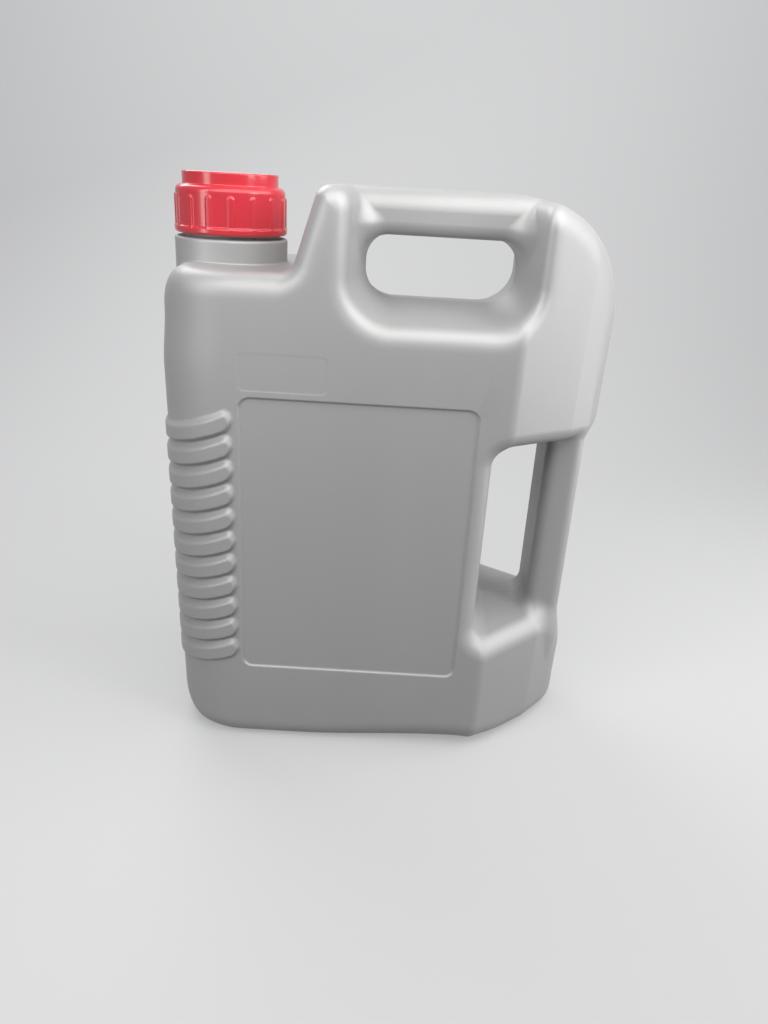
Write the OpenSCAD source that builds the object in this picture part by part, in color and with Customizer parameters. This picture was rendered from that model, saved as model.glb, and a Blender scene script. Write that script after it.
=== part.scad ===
// Five-litre plastic jerrycan: a blow-moulded body with a carrying handle on top and a pouring grip
// at the rear, closed by a ribbed screw cap with a seal liner.
// Millimetres. X runs across the label face, Y through the depth with the front at -Y, Z is up.
// The origin lies on the floor under the middle of the body.

/* [Body] */
// Width across the label face at the shoulder, with the ribs
body_w = 235; // [223:1:250]
// Narrowing of the width from the shoulder down to the floor
draft_w = 8; // [0:0.5:10]
// Depth from the front face to the back face
body_d = 114; // [104:1:126]
// Height to the top of the carrying handle
body_h = 292.4; // [285:0.2:310]
// Drop of the shoulder that carries the neck below the top of the handle
shoulder_drop = 38.4; // [35:0.2:46]
// Wall thickness of the blown shell
wall = 1.3; // [1.2:0.1:2]
// Rounding between the faces and the top and bottom edges
edge_r = 10; // [6:0.5:10.5]
// Corner radius of the front outline on the left
corner_r = 20; // [14:0.5:22]
// Corner radius of the front outline at the lower right
heel_r = 14; // [13:0.5:16]
// Radius of the rounded left side, seen from above
nose_r = 43; // [36:0.5:48]
// Radius of the big top right corner
top_r = 54; // [44:1:60]

/* [Tapered right side] */
// Width of the tapered side, from the end of the flat face to the right edge
taper_w = 55.4; // [49:0.2:61]
// Width of the steeper part at the right edge
tip_w = 20.9; // [18:0.1:25]
// Depth of the body where the steeper part starts
tip_d = 59.4; // [50:0.5:66]
// Depth of the blunt right edge
edge_d = 14; // [10:0.5:18]
// Rounding of the vertical edges of the tapered side
taper_r = 6; // [4:0.5:10]

/* [Carrying handle] */
// Distance from the neck axis to the foot of the front post
post_x = 36; // [33:0.5:40]
// Lean of the outer edge of the front post, in degrees
post_lean = 17.4; // [8:0.2:20]
// Width of the front post at the top
post_w = 20; // [17:0.5:26]
// Width of the rear shoulder, from the finger gap to the right edge
rear_w = 55.5; // [50:0.5:60]
// Depth of the finger gap's floor below the top of the handle
gap_drop = 52.4; // [48:0.2:58]
// Height of the bar
bar_h = 21.1; // [17:0.1:23]
// Depth of the bar from front to back
bar_d = 44; // [34:1:54]
// Corner radius of the finger gap
gap_r = 14.6; // [10:0.1:14.6]
// Slope of the gap's sides between the middle and the faces
gap_draft = 6; // [2:0.5:6.5]
// Rounding of the gap's rims
gap_rim = 11.5; // [5:0.5:12]
// Rounding across the top, between the faces and the top of the handle
crown_r = 18; // [11:0.5:24]

/* [Rear grip] */
// Distance from the hand gap's inner side to the right edge
grip_w = 58.9; // [54:0.1:64]
// Height of the hand gap's floor
grip_low = 72.5; // [64:0.5:80]
// Height of the hand gap's ceiling
grip_high = 174; // [164:0.5:182]
// Corner radius of the hand gap
grip_r = 10; // [6:0.5:12]
// Width of the grip bar
grip_bar_w = 19.6; // [18:0.2:23]
// Depth of the grip bar from front to back
grip_bar_d = 37; // [30:0.5:39]
// Set-back of the grip bar from the right edge
grip_set = 10.4; // [8:0.2:13]
// Slope of the hand gap's sides between the middle and the faces
grip_draft = 5; // [3:0.5:6]
// Rounding of the hand gap's rims
grip_rim = 8; // [4:0.5:8.5]

/* [Grip ribs] */
// Number of ribs on the rounded side
rib_n = 11; // [6:1:11]
// Distance from rib to rib
rib_pitch = 12.66; // [12:0.02:13]
// Height of the lowest rib's head
rib_low = 61.1; // [56:0.1:68]
// Width of a rib
rib_w = 10.6; // [7:0.2:11.4]
// Height that a rib stands proud
rib_proud = 2; // [1:0.1:2.6]
// Sag of a rib from its head to the side
rib_sag = 14; // [8:0.5:18]

/* [Label panel] */
// Margin from the left edge
panel_left = 46.6; // [46:0.2:55]
// Margin from the rear grip's inner side to the panel
panel_right = 12.4; // [12:0.2:22]
// Height of the panel's lower edge
panel_low = 47; // [40:0.5:60]
// Height of the panel's upper edge
panel_high = 198.2; // [180:0.2:199]
// Corner radius of the panel
panel_r = 6; // [3:0.5:10]
// Depth of the panel
panel_t = 0.8; // [0.3:0.1:0.9]

/* [Small field over the panel] */
// Width of the field
tab_w = 43; // [30:0.5:60]
// Height of the field's lower edge
tab_low = 200.6; // [199:0.2:206]
// Height of the field
tab_h = 18.4; // [12:0.2:20]
// Corner radius of the field
tab_r = 3; // [2:0.5:5]
// Depth of the field
tab_t = 0.25; // [0.15:0.05:0.4]

/* [Base] */
// Width of the flat ring that the can stands on
foot_w = 11; // [7:0.5:16]
// Height of the hollow under the base
foot_t = 2.4; // [1:0.1:4]

/* [Neck] */
// Distance from the left edge to the neck axis
neck_x = 34.5; // [33:0.1:39]
// Outer diameter of the collar under the cap
collar_d = 55.6; // [54:0.1:58]
// Height of the collar above the shoulder
collar_h = 11; // [8:0.2:14]
// Outer diameter of the neck
neck_d = 47.4; // [45:0.1:48.4]
// Bore of the neck
bore_d = 41.4; // [38:0.1:43]
// Height of the neck above the collar
neck_h = 19.6; // [17:0.1:22]

/* [Cap] */
// Diameter of the skirt
cap_d = 53.4; // [52.4:0.1:54.6]
// Wall thickness of the cap
cap_t = 1.7; // [1.3:0.1:2]
// Thickness of the cap's top plate
cap_top_t = 1.9; // [1.5:0.1:3]
// Diameter of the bead at the lower edge
bead_d = 55.2; // [54.6:0.1:57]
// Height of the bead at the lower edge
bead_h = 3; // [2:0.1:4]
// Number of grip bars round the skirt
cap_bar_n = 16; // [12:1:20]
// Width of a grip bar
cap_bar_w = 4; // [2.4:0.1:4.6]
// Height that a grip bar stands proud
cap_bar_t = 0.6; // [0.4:0.1:0.8]
// Diameter of the raised ring on top
ring_d = 46.6; // [44:0.1:47.2]
// Height of the raised ring
ring_h = 5.9; // [4:0.1:7]
// Thickness of the raised ring
ring_t = 2.2; // [1.6:0.1:3]
// Clearance between the collar and the cap
cap_gap = 2; // [1:0.1:3]

/* [Seal liner] */
// Thickness of the liner
liner_t = 1.8; // [1:0.1:2.4]
// Clearance round the liner and over the rim of the neck
liner_gap = 0.3; // [0.2:0.05:0.4]

/* [Hidden] */

right = body_w / 2;
half_d = body_d / 2;
shoulder_h = body_h - shoulder_drop;

// Left edge, where the top rib stands out as far as the big corner does on the right
rib_top = rib_low + (rib_n - 1) * rib_pitch - rib_sag + rib_w / 2 - rib_proud;
left = rib_proud - right * spread(body_h - top_r) / spread(rib_top);

// Plan view: centre of the rounded left side and corners of the tapered right side
nose_cx = left + nose_r;
nose_cy = half_d - nose_r;
taper_x = right - taper_w;
tip_x = right - tip_w;

// Front view: the post's outer edge from its foot on the shoulder to the top
axis_x = left + neck_x;
foot_x = axis_x + post_x;
post_top_x = foot_x + (body_h - shoulder_h) * tan(post_lean);
post_r = 12.5;
valley_r = 6;

// Finger gap under the carrying handle, at the middle of the depth
gap_l = post_top_x + post_w;
gap_rt = right - rear_w;
gap_z = body_h - gap_drop;
bar_z = body_h - bar_h;
bar_flare = 9;
bar_root = 6;

// Hand gap of the rear grip, at the middle of the depth
grip_x = right - grip_w;
grip_bar_x = right - grip_set - grip_bar_w;
grip_end = 10;
grip_rise = 16;
grip_run = 22;
grip_fall = 24;
grip_flare = 2;
grip_root = 8;
grip_foot = 20;

// Power of the bars' rounded section: 1 is an ellipse, less is squarer
bar_power = 0.8;

// Ribs: angles of the head and of the level part round the side, seat in the wall, floor between the
// ribs and flat of the crown
rib_head = -1.8;
rib_level = 70;
rib_shift = 1;
rib_root = 0.8;
rib_floor = 0.15;
rib_crown = rib_w - 2 * rib_proud;

// Radius of the weld line under the base
weld_r = 0.9;

// Heights of the neck and the cap
collar_z = shoulder_h + collar_h;
rim_z = collar_z + neck_h;
cap_z = collar_z + cap_gap;
liner_z = rim_z + liner_gap;
plate_z = liner_z + liner_t;
step_z = plate_z + cap_top_t;
cap_in_r = cap_d / 2 - cap_t;

// Roundings and chamfers of the neck and the cap, and the drop of the grip bars below the fold
fold_r = 3;
fold_n = 4;
dome_n = 3;
bar_drop = 1;
collar_chamfer = 1;
rim_chamfer = 0.8;
bead_chamfer = 0.6;
ring_draft = 0.4;

// Reach of a cutting or bounding form past the surface, and where a rounded edge meets its face
past = 3;
overlap = 0.6;
last_turn = 78;

// Steps of the rounded side, the rounded top, the hand gap's ends and the turned neck
nose_n = 7;
crown_n = 4;
end_n = 3;
neck_fn = 44;
cap_fn = 96;

// Share of the half depth that an edge may take, and the least half depth
edge_share = 0.8;
edge_least = 2;

body_grey = [0.66, 0.67, 0.69];
cap_red = [0.80, 0.10, 0.16];
liner_white = [0.92, 0.92, 0.90];

// Share of the shoulder's width that the body has at a height
function spread(z) = 1 - draft_w / body_w * (shoulder_h - z) / shoulder_h;

// Half depth of the body at a place across the shoulder's width
function half_depth(x) =
    x < nose_cx ? nose_cy + sqrt(max(0, nose_r * nose_r - (x - nose_cx) * (x - nose_cx)))
    : x < taper_x ? half_d
    : x < tip_x ? half_d + (tip_d / 2 - half_d) * (x - taper_x) / (tip_x - taper_x)
    : tip_d / 2 + (edge_d / 2 - tip_d / 2) * min(1, (x - tip_x) / (right - tip_x));

// Depth at which an edge of radius r runs, e below the face, at a point of the front view
function face_y(p, e, r, inset) =
    let (h = max(edge_least, half_depth(p[0] / spread(p[1])) - inset))
    h - e * min(1, edge_share * h / r);

// Points of an arc in the front view; its radius is drawn in by k, from weight w0 to weight w1
function arc(cx, cz, r, a0, a1, n, k = 0, w0 = 1, w1 = 1) =
    [for (i = [0:n])
        let (t = i / n, a = a0 + (a1 - a0) * t, d = r - k * (w0 + (w1 - w0) * t))
        [cx + d * cos(a), cz + d * sin(a)]];

// Outline of the body in the front view; its rounded edges are drawn in by k
function outline(k, n) =
    let (c = corner_r, narrow = spread(0), toe = tan((90 - post_lean) / 2),
        low_x = left * narrow - past + c, high_x = left - past + c)
    concat(
        arc(low_x, c, c, 180, 270, 2 * n, k, 0, 1),
        [for (i = [1:n]) [low_x + (nose_cx - low_x) * i / n, k]],
        [[taper_x * narrow, k], [tip_x * narrow, k]],
        arc(right * narrow + past - heel_r, heel_r, heel_r, 270, 360, 2 * n, k, 1, 0),
        arc(right - top_r, body_h - top_r, top_r, 0, 90, 4 * n, k, 0, 1),
        arc(post_top_x + post_r * toe, body_h - post_r, post_r, 90, 180 - post_lean, n + 1, k),
        arc(foot_x - valley_r * toe, shoulder_h + valley_r, valley_r, -post_lean, -90, n, -k),
        [for (i = [0:n - 1]) [nose_cx + (high_x - nose_cx) * i / n, shoulder_h - k]],
        arc(high_x, shoulder_h - c, c, 90, 180, 2 * n, k, 1, 0));

// Outline of the finger gap in the front view, open at the top and grown by k
function gap_outline(k, n) =
    concat(
        [[gap_l - k, body_h + past]],
        arc(gap_l + gap_r, gap_z + gap_r, gap_r, 180, 270, 2 * n, -k),
        arc(gap_rt - gap_r, gap_z + gap_r, gap_r, 270, 360, 2 * n, -k),
        [[gap_rt + k, body_h + past]]);

// Outline of the hand gap in the front view, open at the right and grown by k
function grip_outline(k, n, inset) =
    let (high_x = right * spread(grip_high) - grip_end - inset,
        low_x = right * spread(grip_low) - grip_run - inset)
    concat(
        [for (i = [end_n:-1:0]) let (a = 90 * i / end_n)
            [high_x + (grip_end + past) * sin(a), grip_high + k + grip_rise * (1 - cos(a))]],
        [[tip_x - grip_r, grip_high + k]],
        arc(grip_x + grip_r, grip_high - grip_r, grip_r, 90, 180, 2 * n, -k),
        arc(grip_x + grip_r, grip_low + grip_r, grip_r, 180, 270, 2 * n, -k),
        [[tip_x - grip_r, grip_low - k]],
        [for (i = [0:end_n]) let (a = 90 * i / end_n)
            [low_x + (grip_run + past) * sin(a), grip_low - k - grip_fall * (1 - cos(a))]]);

// Closed skin over a row of rings of equal length. Each ring runs anticlockwise as seen from the
// first ring towards the last, and the two end rings are flat.
module skin(rings) {
    n = len(rings[0]);
    m = len(rings) - 1;
    polyhedron(
        points = [for (ring = rings) each ring],
        faces = concat(
            [[for (i = [n - 1:-1:0]) i]],
            [[for (i = [0:n - 1]) m * n + i]],
            [for (k = [0:m - 1], i = [0:n - 1])
                let (j = (i + 1) % n, a = k * n, b = a + n)
                each [[a + i, b + j, b + i], [a + i, a + j, b + j]]]));
}

// A row of points on the back, joined to its mirror image on the front
function both_sides(row) = concat(row, [for (i = [len(row) - 1:-1:0]) [row[i][0], -row[i][1]]]);

// Plan of the body: rounded left side, flat faces and tapered right side
module plan(inset) {
    nose = [for (i = [0:nose_n]) let (a = 90 * i / nose_n)
        [nose_cx - nose_r * cos(a), nose_cy + nose_r * sin(a)]];
    taper = [[right, edge_d / 2], [tip_x, tip_d / 2], [taper_x, half_d], [-taper_r, half_d]];
    offset(delta = -inset) {
        polygon(both_sides(concat([[0, half_d]], [for (i = [nose_n:-1:0]) nose[i]])));
        offset(r = taper_r, $fn = 32) offset(delta = -taper_r) polygon(both_sides(taper));
    }
}

// Bound of the body as seen from the side: straight faces and a top with well rounded edges
module crown(inset) {
    r = crown_r - inset;
    y0 = half_d - inset - r;
    z0 = body_h - inset - r;
    a0 = 90 - last_turn;
    out = overlap + r * (1 - cos(a0));
    near = concat(
        [[half_d + past, -past]],
        [[half_d + past, z0 + r * sin(a0) - out / tan(a0)]],
        [[y0 + r * cos(a0) + out, z0 + r * sin(a0) - out / tan(a0)]],
        [for (i = [0:crown_n])
            let (a = a0 + last_turn * i / crown_n) [y0 + r * cos(a), z0 + r * sin(a)]]);
    far = [for (i = [len(near) - 1:-1:0]) [-near[i][0], near[i][1]]];
    rotate([90, 0, 90]) linear_extrude(body_w + 4 * past, center = true) polygon(concat(near, far));
}

// Body without its gaps: the plan, bounded by the front outline with rounded edges
module main_form(inset, n) {
    r = edge_r - inset;
    narrow = spread(-past);
    turns = [for (i = [0:n]) last_turn * i / n];
    cuts = [for (a = turns) [inset + r * (1 - cos(a)), r * (1 - sin(a))]];
    end = cuts[n];
    out = [end[0] + (end[1] + overlap) * tan(last_turn), -overlap];
    stations = concat(cuts, [out]);
    m = len(stations) - 1;
    function ring(s, side) =
        [for (p = outline(s[0], n)) [p[0], side * face_y(p, s[1], r, inset), p[1]]];
    function flat(side) = [for (p = outline(out[0], n)) [p[0], side * (half_d + past), p[1]]];
    intersection() {
        translate([0, 0, -past])
            linear_extrude(body_h + 2 * past, scale = [spread(body_h + past) / narrow, 1], slices = 1)
                scale([narrow, 1]) plan(inset);
        crown(inset);
        skin(concat(
            [flat(-1)],
            [for (i = [m:-1:0]) ring(stations[i], -1)],
            [for (i = [0:m]) ring(stations[i], 1)],
            [flat(1)]));
    }
}

// Rows of a gap's sides: rounded rims at both faces, sloping in to the middle of the depth
function gap_rows(r, draft, inset, n) =
    let (turns = [for (i = [0:n]) 90 - last_turn + last_turn * i / n],
        cuts = [for (a = turns) [inset + draft + r * (1 - sin(a)), r * (1 - cos(a))]],
        first = cuts[0])
    concat([[first[0] + (first[1] + overlap) * tan(last_turn), -overlap]], cuts);

// Finger gap, open at the top, as a solid to cut away
module finger_gap(inset, n) {
    r = gap_rim - inset;
    rows = gap_rows(r, gap_draft, inset, n);
    m = len(rows) - 1;
    function ring(s, side) =
        [for (p = gap_outline(s[0], n)) [p[0], side * face_y(p, s[1], r, inset), p[1]]];
    function flat(k, y) = [for (p = gap_outline(k, n)) [p[0], y, p[1]]];
    skin(concat(
        [flat(rows[0][0], -half_d - past)],
        [for (i = [0:m]) ring(rows[i], -1)],
        [flat(inset, 0)],
        [for (i = [m:-1:0]) ring(rows[i], 1)],
        [flat(rows[0][0], half_d + past)]));
}

// Hand gap, open at the right, as a solid to cut away; it slopes less where the body is less deep
module hand_gap(inset, n) {
    r = grip_rim - inset;
    rows = gap_rows(r, 0, inset, n);
    m = len(rows) - 1;
    middle = grip_outline(inset, n, inset);
    slopes = [for (p = middle) grip_draft * half_depth(p[0] / spread(p[1])) / half_d];
    function grown(k) = [for (i = [0:len(middle) - 1]) grip_outline(k + slopes[i], n, inset)[i]];
    function ring(s, side) =
        [for (p = grown(s[0])) [p[0], side * face_y(p, s[1], r, inset), p[1]]];
    function flat(row, y) = [for (p = row) [p[0], y, p[1]]];
    skin(concat(
        [flat(grown(rows[0][0]), -half_d - past)],
        [for (i = [0:m]) ring(rows[i], -1)],
        [flat(middle, 0)],
        [for (i = [m:-1:0]) ring(rows[i], 1)],
        [flat(grown(rows[0][0]), half_d + past)]));
}

// Height of the body's top at a place across the width, on the right of the post
function top_z(x) =
    let (d = max(0, x - right + top_r))
    body_h - top_r + sqrt(top_r * top_r - d * d);

// Growth of a bar at a distance t from the wall that it runs into, for a fillet of radius r
function flare(t, r) = t >= r ? 0 : r - sqrt(r * r - (r - max(0, t)) * (r - max(0, t)));

// Rounded section of a bar: place on a superellipse at an angle
function squircle(c) = sign(c) * pow(abs(c), bar_power);

// Bar of the carrying handle, with flared ends that run into the post and the shoulder
module handle_bar(inset, n) {
    root = bar_root + 2 * inset;
    sides = 6 * n;
    f = bar_flare - inset;
    r = gap_r - inset;
    sink = gap_draft / 2;
    near = concat([-root, 0], [for (i = [1:n + 1]) r * i * i / ((n + 1) * (n + 1))]);
    far = [for (i = [len(near) - 1:-1:0]) near[i]];
    function ring(x, t) =
        let (b = bar_d / 2 - inset + flare(t, f),
            low = bar_z + inset - flare(t, r), top = top_z(x) - inset)
        [for (i = [0:sides - 1]) let (a = 360 * i / sides)
            [x, -b * squircle(cos(a)), (low + top) / 2 + (top - low) / 2 * squircle(sin(a))]];
    skin(concat(
        [for (t = near) ring(gap_l - sink + t, t)],
        [for (t = far) ring(gap_rt + sink - t, t)]));
}

// Bar of the rear grip, with flared ends that run into the shoulder and the base
module grip_bar(inset, n) {
    sides = 6 * n;
    f = grip_flare - inset;
    r = grip_r - inset;
    sink = grip_draft / 2;
    flared = [for (i = [0:n + 1]) r * i * i / ((n + 1) * (n + 1))];
    near = concat([-grip_foot - 2 * inset], flared);
    far = concat([for (i = [n + 1:-1:0]) flared[i]], [-grip_root - 2 * inset]);
    function ring(z, t) =
        let (b = grip_bar_d / 2 - inset + flare(t, f),
            x0 = grip_bar_x + inset - flare(t, r), x1 = right - grip_set - inset)
        [for (i = [0:sides - 1]) let (a = 360 * i / sides)
            [(x0 + x1) / 2 - (x1 - x0) / 2 * squircle(cos(a)), b * squircle(sin(a)), z]];
    skin(concat(
        [for (t = near) ring(grip_low - sink + t, t)],
        [for (t = far) ring(grip_high + sink - t, t)]));
}

// Shallow hollow under the base, inside the flat ring that the can stands on
module base_hollow(inset) {
    rim = edge_r + foot_w - inset;
    scale([spread(0), 1, 1]) hull() {
        translate([0, 0, -past]) linear_extrude(past) plan(rim);
        linear_extrude(foot_t + inset) plan(rim + foot_t);
    }
}

// The blown form; an inset of one wall gives its inside
module blown_form(inset, n) {
    difference() {
        union() {
            difference() {
                main_form(inset, n);
                finger_gap(inset, n);
                hand_gap(inset, n);
            }
            handle_bar(inset, n);
            grip_bar(inset, n);
        }
        base_hollow(inset);
    }
}

// Point on the rounded side at an angle from the front, at a depth under the surface, and its height;
// below zero it lies on the flat face
function side_point(a, depth, z) =
    a < 0 ? [nose_cx - nose_r * a * PI / 180, depth - half_d, z]
    : [nose_cx - (nose_r - depth) * sin(a), -nose_cy - (nose_r - depth) * cos(a), z];

// Height of a rib at an angle round the side: its head stands highest
function rib_z(a, z) =
    let (t = max(0, rib_level - a) / (rib_level - rib_head))
    z - rib_sag * (1 - t * t);

// Grip ribs on one pad that wraps the rounded side; each rib swells from a rounded head
module ribs() {
    heights = [for (i = [rib_n - 1:-1:0]) rib_low + i * rib_pitch];
    head = [[rib_head, 0.1], [rib_head + 1, 0.6], [rib_head + 3, 0.92]];
    run = [for (i = [1:nose_n]) [90 * i / nose_n - rib_shift, 1]];
    rows = concat(head, run);
    m = len(rows) - 1;
    section = [[0, rib_w], [1, rib_crown], [1, -rib_crown], [0, -rib_w]];
    function profile(f) = concat(
        [[-rib_root, heights[0] + rib_w / 2]],
        [for (z = heights, s = section)
            [rib_floor + s[0] * f * (rib_proud - rib_floor), z + f * s[1] / 2]],
        [[-rib_root, heights[rib_n - 1] - rib_w / 2]]);
    function ring(row, side) =
        [for (p = profile(row[1]))
            let (q = side_point(row[0], -p[0], rib_z(row[0], p[1])))
            [q[0] * spread(q[2]), side * q[1], q[2]]];
    skin(concat(
        [for (row = rows) ring(row, 1)],
        [for (i = [m:-1:0]) ring(rows[i], -1)]));
}

// Neck with the stepped collar under the cap
module neck() {
    low = shoulder_h - corner_r;
    collar_r = collar_d / 2;
    neck_r = neck_d / 2;
    translate([axis_x, 0, 0]) rotate_extrude($fn = neck_fn)
        polygon([
            [0, low], [collar_r, low], [collar_r, collar_z - collar_chamfer],
            [collar_r - collar_chamfer, collar_z], [neck_r, collar_z], [neck_r, rim_z - rim_chamfer],
            [neck_r - rim_chamfer, rim_z], [0, rim_z]]);
}

// Shallow field with a bevelled border, cut into the front and the back
module field(x0, x1, z0, z1, r, t) {
    for (side = [-1, 1]) hull()
        for (x = [x0 + r, x1 - r], z = [z0 + r, z1 - r])
            translate([x, side * half_d, z]) rotate([90 * side, 0, 0]) {
                translate([0, 0, -past]) cylinder(h = past, r = r, $fn = 24);
                cylinder(h = t, r = r - 2 * t, $fn = 24);
            }
}

// Way from the shoulder up to the neck, inside the collar
module funnel() {
    hull() {
        translate([axis_x, 0, shoulder_h - corner_r])
            cylinder(h = corner_r, d = collar_d - 2 * wall, $fn = neck_fn);
        translate([axis_x, 0, collar_z - 2 * wall]) cylinder(h = wall, d = bore_d, $fn = neck_fn);
    }
}

// Weld line that the mould pinches off, along the hollow of the base
module weld_line() {
    hull()
        for (x = [nose_cx, taper_x])
            translate([x, 0, foot_t]) sphere(weld_r, $fn = 16);
}

// Blow-moulded can in one piece: shell, both handles, grip ribs, label panels and neck
module body() {
    color(body_grey) difference() {
        union() {
            blown_form(0, 3);
            ribs();
            neck();
            weld_line();
        }
        blown_form(wall, 2);
        funnel();
        translate([axis_x, 0, shoulder_h])
            cylinder(h = rim_z - shoulder_h + past, d = bore_d, $fn = neck_fn);
        field(left + panel_left, grip_x - panel_right, panel_low, panel_high, panel_r, panel_t);
        field(left + panel_left, left + panel_left + tab_w, tab_low, tab_low + tab_h, tab_r, tab_t);
    }
}

// One grip bar of the cap: upright, round, with a domed top
module cap_bar() {
    r = cap_bar_w / 2;
    low = cap_z + bead_h / 2;
    top = step_z - fold_r - bar_drop - r;
    translate([cap_d / 2 + cap_bar_t - r, 0, 0]) rotate_extrude($fn = 24)
        polygon(concat(
            [[0, low], [r, low]],
            [for (i = [0:dome_n]) let (a = 90 * i / dome_n) [r * cos(a), top + r * sin(a)]]));
}

// Screw cap with grip bars, a bead at its lower edge and a raised ring on top
module cap() {
    r = cap_d / 2;
    bead_r = bead_d / 2;
    ring_r = ring_d / 2;
    ring_in_r = ring_r - ring_t;
    ring_z = step_z + ring_h;
    c = bead_chamfer;
    color(cap_red) translate([axis_x, 0, 0]) difference() {
        union() {
            rotate_extrude($fn = cap_fn)
                polygon(concat(
                    [[0, cap_z], [bead_r - c, cap_z], [bead_r, cap_z + c]],
                    [[bead_r, cap_z + bead_h - c], [bead_r - c, cap_z + bead_h], [r, cap_z + bead_h]],
                    [for (i = [0:fold_n])
                        let (a = 90 * i / fold_n)
                        [r - fold_r * (1 - cos(a)), step_z - fold_r * (1 - sin(a))]],
                    [[ring_r, step_z], [ring_r, ring_z - rim_chamfer], [ring_r - rim_chamfer, ring_z]],
                    [[ring_in_r, ring_z], [ring_in_r - ring_draft, step_z], [0, step_z]]));
            for (i = [0:cap_bar_n - 1]) rotate([0, 0, 360 * (i + 0.5) / cap_bar_n]) cap_bar();
        }
        translate([0, 0, cap_z - past]) cylinder(h = plate_z - cap_z + past, r = cap_in_r, $fn = cap_fn);
    }
}

// Soft seal disc that lies in the cap and closes on the rim of the neck
module cap_liner() {
    color(liner_white) translate([axis_x, 0, liner_z])
        cylinder(h = liner_t, r = cap_in_r - liner_gap, $fn = cap_fn);
}

body();
cap();
cap_liner();
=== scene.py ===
"""Looks of the five-litre jerrycan: the blown body's skin, the moulded cap and their materials."""

import itertools
import math

import bpy
import numpy as np
from mathutils import Matrix, Vector


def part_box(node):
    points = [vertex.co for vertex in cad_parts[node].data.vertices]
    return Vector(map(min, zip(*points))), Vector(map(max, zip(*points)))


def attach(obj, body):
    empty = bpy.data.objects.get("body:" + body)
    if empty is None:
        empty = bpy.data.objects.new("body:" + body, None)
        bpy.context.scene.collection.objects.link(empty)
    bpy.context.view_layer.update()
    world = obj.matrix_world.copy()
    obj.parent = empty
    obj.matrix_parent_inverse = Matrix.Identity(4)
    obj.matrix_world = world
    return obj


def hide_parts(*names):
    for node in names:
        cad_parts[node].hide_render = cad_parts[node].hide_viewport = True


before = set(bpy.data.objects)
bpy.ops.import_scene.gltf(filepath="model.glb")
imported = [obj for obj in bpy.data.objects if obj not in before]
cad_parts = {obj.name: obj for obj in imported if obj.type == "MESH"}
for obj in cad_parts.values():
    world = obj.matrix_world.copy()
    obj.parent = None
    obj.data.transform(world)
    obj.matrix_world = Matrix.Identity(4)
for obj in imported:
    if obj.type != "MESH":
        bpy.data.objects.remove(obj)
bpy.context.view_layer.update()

# Millimetres, as the forms below are written, and metres, as the scene is
MM = 0.001

# Overall places of the body, the neck axis and the cap, from the frame
body_low, body_high = (np.array(corner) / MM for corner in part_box("body"))
cap_low, cap_high = (np.array(corner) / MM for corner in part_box("cap"))
_, liner_high = (np.array(corner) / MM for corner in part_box("cap_liner"))
TOP = float(body_high[2])
AXIS_X = float(cap_low[0] + cap_high[0]) / 2
CAP_LOW = float(cap_low[2])
CAP_TOP = float(cap_high[2])
LINER_TOP = float(liner_high[2])

# Body at the shoulder, and the share of its width that is lost down to the floor
LEFT = -116.46
RIGHT = 117.5
HALF_D = 57.0
SHOULDER = 254.0
NARROWING = 0.034
WALL = 1.3

# Roundings of the faces' edges, the outline's corners, its heel, its big top corner and the left side
EDGE_R = 10.0
CORNER_R = 20.0
HEEL_R = 12.0
HEEL_RUN = 50.0
TOP_R = 62.0
NOSE_R = 43.0
NOSE_X = LEFT + NOSE_R
NOSE_Y = HALF_D - NOSE_R

# Eased edges: power of their curve, and reach that keeps a round edge's depth
EASE_POWER = 2.6
EASE_REACH = 1.25

# Lean of the left side under the shoulder, as a start, a run and a reach upwards
LEAN = (205.0, 30.0, 2.2)

# Roll of the base's long edges and swell at its right, as a start, a run and a reach downwards
BASE_ROLL = (40.0, 40.0, 8.0)
BASE_SWELL = (80.0, 40.0, 3.0)

# Where along the width the roll comes in and goes out, as a start and a run
ROLL_IN = (-40.0, 90.0)
ROLL_OUT = (50.0, 30.0)

# Tapered right side: where it starts, bends and ends in the plan
TAPER_R = 8.0
TAPER_START = RIGHT - 55.4
TAPER_BEND = (RIGHT - 20.9, 29.7)
TAPER_TIP = 7.0
FAR_LEFT = -200.0
PLAN_TAPER = [
    (FAR_LEFT, HALF_D),
    (TAPER_START, HALF_D),
    TAPER_BEND,
    (RIGHT, TAPER_TIP),
    (RIGHT, -TAPER_TIP),
]

# Post and the finger gap behind it
POST_FOOT = AXIS_X + 36.0
POST_LEAN = math.radians(17.4)
POST_R = 5.0
VALLEY_R = 5.0
GAP_LEFT = POST_FOOT + (TOP - SHOULDER) * math.tan(POST_LEAN) + 20.0
GAP_RIGHT = RIGHT - 55.5
GAP_FLOOR = TOP - 52.4
GAP_R = 14.6
GAP_DRAFT = 6.0
GAP_RIM = 8.5

# Carrying bar, with a rounding that grows upwards and a fillet from fine at the top to full below
BAR_LOW = TOP - 21.1
BAR_HALF_D = 22.0
BAR_TOP_R = 10.0
BAR_LOW_R = 6.5
BAR_EASE = 6.0
BAR_ROOT = 12.0
BAR_FILLET = (0.1, 13.0)
BAR_FADE = (2.0, 15.0)

# Rear grip, with a floor that falls and a ceiling that rises to the right: start, run and reach
GRIP_X = RIGHT - 58.9
GRIP_LOW = 72.5
GRIP_HIGH = 174.0
GRIP_R = 6.0
GRIP_DRAFT = 5.0
GRIP_RIM = (10.0, 8.0)
GRIP_EASE = (20.0, 40.0)
GRIP_FALL = (RIGHT - 25.0, 25.0, 19.0)
GRIP_RISE = (RIGHT - 11.0, 13.0, 10.0)
DRIFT_END = 1.2

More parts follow.
